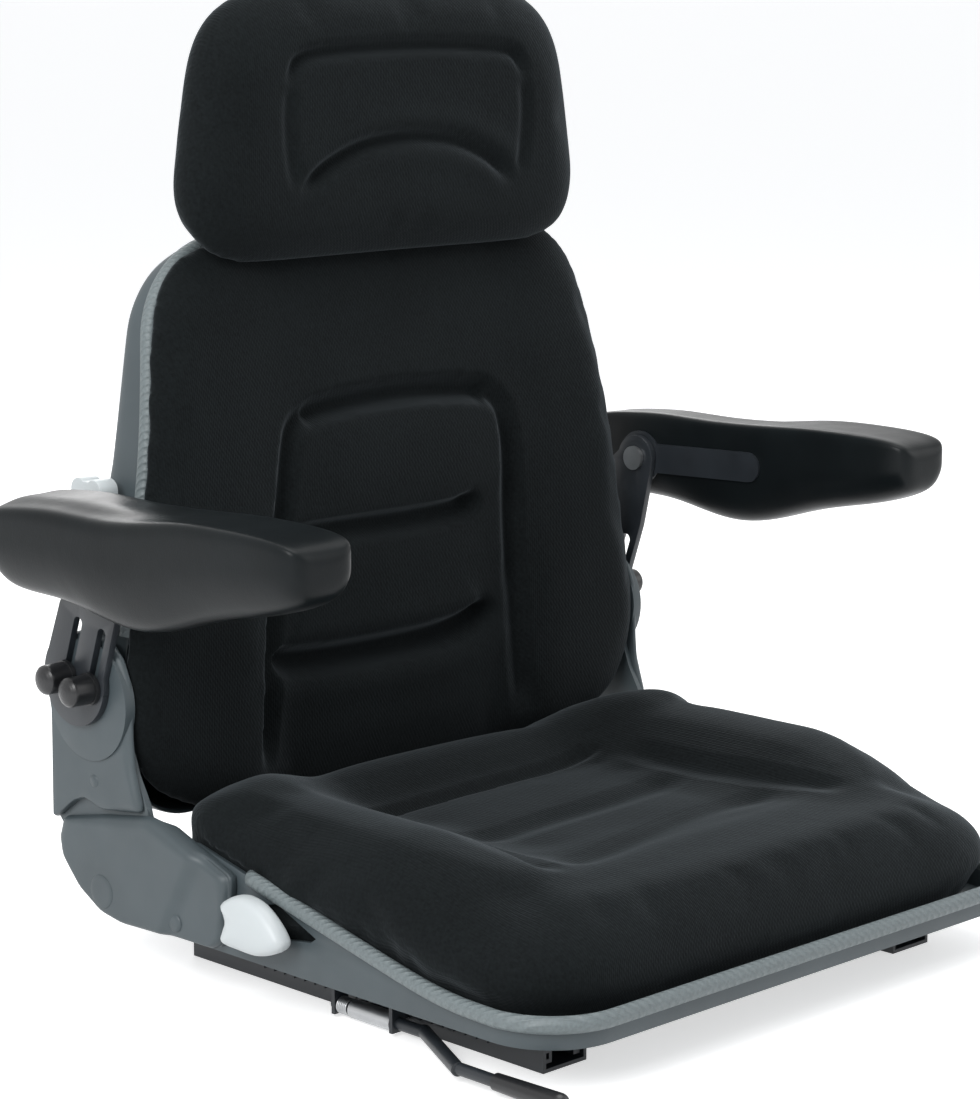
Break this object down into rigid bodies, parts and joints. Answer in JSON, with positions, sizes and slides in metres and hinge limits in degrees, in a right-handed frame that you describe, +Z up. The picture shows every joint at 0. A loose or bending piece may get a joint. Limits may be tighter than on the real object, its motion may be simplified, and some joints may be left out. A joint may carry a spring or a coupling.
{
  "type": "agricultural machine seat",
  "caption": "Cushioned tractor seat on slide rails with reclining backrest, lumbar knob, headrest and fold-up armrests.",
  "frame": {"origin": "centre of the four rail bolts, on the face that the slide rails stand on", "axes": "+Z up, the sitter faces -Y, +X is the side away from the levers and the lumbar knob"},
  "size_m": [0.6284, 0.4745, 0.65],
  "materials": {
    "black_steel": "satin black paint",
    "bare_steel": "zinc-plated steel",
    "grey_plastic": "moulded plastic with a fine grain",
    "grey_trim": "grained edge trim",
    "black_cloth": "black woven cloth over foam",
    "armrest_skin": "self-skinned foam, semi-matt",
    "white_plastic": "white plastic",
    "black_plastic": "black plastic"
  },
  "bodies": {
    "base": {"lower_rail_left": "black_steel", "lower_rail_right": "black_steel", "lock_rack": "black_steel"},
    "seat": {"upper_rail_left": "black_steel", "upper_rail_right": "black_steel", "rail_shoes": "white_plastic", "rail_screws": "bare_steel", "rail_nuts": "bare_steel", "handle_bracket": "black_steel", "latch_spring": "bare_steel", "seat_pan": "grey_plastic", "seat_trim": "grey_trim", "seat_cushion": "black_cloth", "recliner_bracket_left": "black_steel", "recliner_bracket_right": "black_steel", "bracket_rivets": "bare_steel", "recliner_cover_left": "grey_plastic", "recliner_cover_right": "grey_plastic", "recliner_shaft": "bare_steel", "pivot_caps": "grey_plastic", "recline_spring": "bare_steel", "lever_spring": "bare_steel"},
    "slide_handle": {"slide_handle": "black_steel", "handle_grip": "black_plastic", "latch_plate": "bare_steel"},
    "recline_lever": {"recline_lever": "white_plastic", "lever_shaft": "bare_steel", "recline_pawl": "bare_steel"},
    "backrest": {"recliner_arm_left": "grey_plastic", "recliner_arm_right": "grey_plastic", "arm_rivets": "bare_steel", "back_shell": "grey_plastic", "back_trim": "grey_trim", "back_cushion": "black_cloth", "lumbar_plate": "bare_steel", "lumbar_bearing": "black_plastic", "headrest_guides": "black_plastic", "armrest_studs_left": "bare_steel", "armrest_studs_right": "bare_steel", "armrest_knobs_left": "black_plastic", "armrest_knobs_right": "black_plastic"},
    "lumbar_knob": {"lumbar_knob": "white_plastic", "lumbar_shaft": "bare_steel", "lumbar_cams": "black_plastic"},
    "headrest": {"headrest_posts": "bare_steel", "headrest_plate": "black_steel", "headrest_shell": "grey_plastic", "headrest_pad": "black_cloth"},
    "armrest_bracket_left": {"armrest_bracket_left": "black_steel", "armrest_pin_left": "bare_steel"},
    "armrest_bracket_right": {"armrest_bracket_right": "black_steel", "armrest_pin_right": "bare_steel"},
    "armrest_left": {"armrest_hinge_left": "black_steel", "armrest_pad_left": "armrest_skin"},
    "armrest_right": {"armrest_hinge_right": "black_steel", "armrest_pad_right": "armrest_skin"}
  },
  "joints": [
    {"name": "seat_slide", "type": "slide", "parent": "base", "child": "seat", "axis": [0, -1, 0], "range_m": [-0.075, 0.075]},
    {"name": "slide_handle_lift", "type": "hinge", "parent": "seat", "child": "slide_handle", "pos_m": [-0.202, -0.05, 0.0075], "axis": [0, 1, 0], "range_deg": [0, 14], "stiffness_Nm_per_rad": 1.2, "springref_deg": -14.32},
    {"name": "recline", "type": "hinge", "parent": "seat", "child": "backrest", "pos_m": [0, 0.19, 0.052], "axis": [-1, 0, 0], "range_deg": [0, 28]},
    {"name": "recline_lever_lift", "type": "hinge", "parent": "seat", "child": "recline_lever", "pos_m": [-0.25, 0.05, 0.063], "axis": [-1, 0, 0], "range_deg": [0, 6], "stiffness_Nm_per_rad": 0.8, "springref_deg": -11.46},
    {"name": "lumbar_turn", "type": "hinge", "parent": "backrest", "child": "lumbar_knob", "pos_m": [-0.22, 0.212, 0.306], "axis": [1, 0, 0], "range_deg": [0, 90]},
    {"name": "headrest_height", "type": "slide", "parent": "backrest", "child": "headrest", "axis": [0, 0, 1], "range_m": [0, 0.06]},
    {"name": "armrest_height_left", "type": "slide", "parent": "backrest", "child": "armrest_bracket_left", "axis": [0, 0.3256, -0.9455], "range_m": [0, 0.02]},
    {"name": "armrest_height_right", "type": "slide", "parent": "backrest", "child": "armrest_bracket_right", "axis": [0, 0.3256, -0.9455], "range_m": [0, 0.02]},
    {"name": "armrest_fold_left", "type": "hinge", "parent": "armrest_bracket_left", "child": "armrest_left", "pos_m": [-0.255, 0.167, 0.294], "axis": [-1, 0, 0], "range_deg": [0, 90]},
    {"name": "armrest_fold_right", "type": "hinge", "parent": "armrest_bracket_right", "child": "armrest_right", "pos_m": [0.255, 0.167, 0.294], "axis": [-1, 0, 0], "range_deg": [0, 90]}
  ]
}
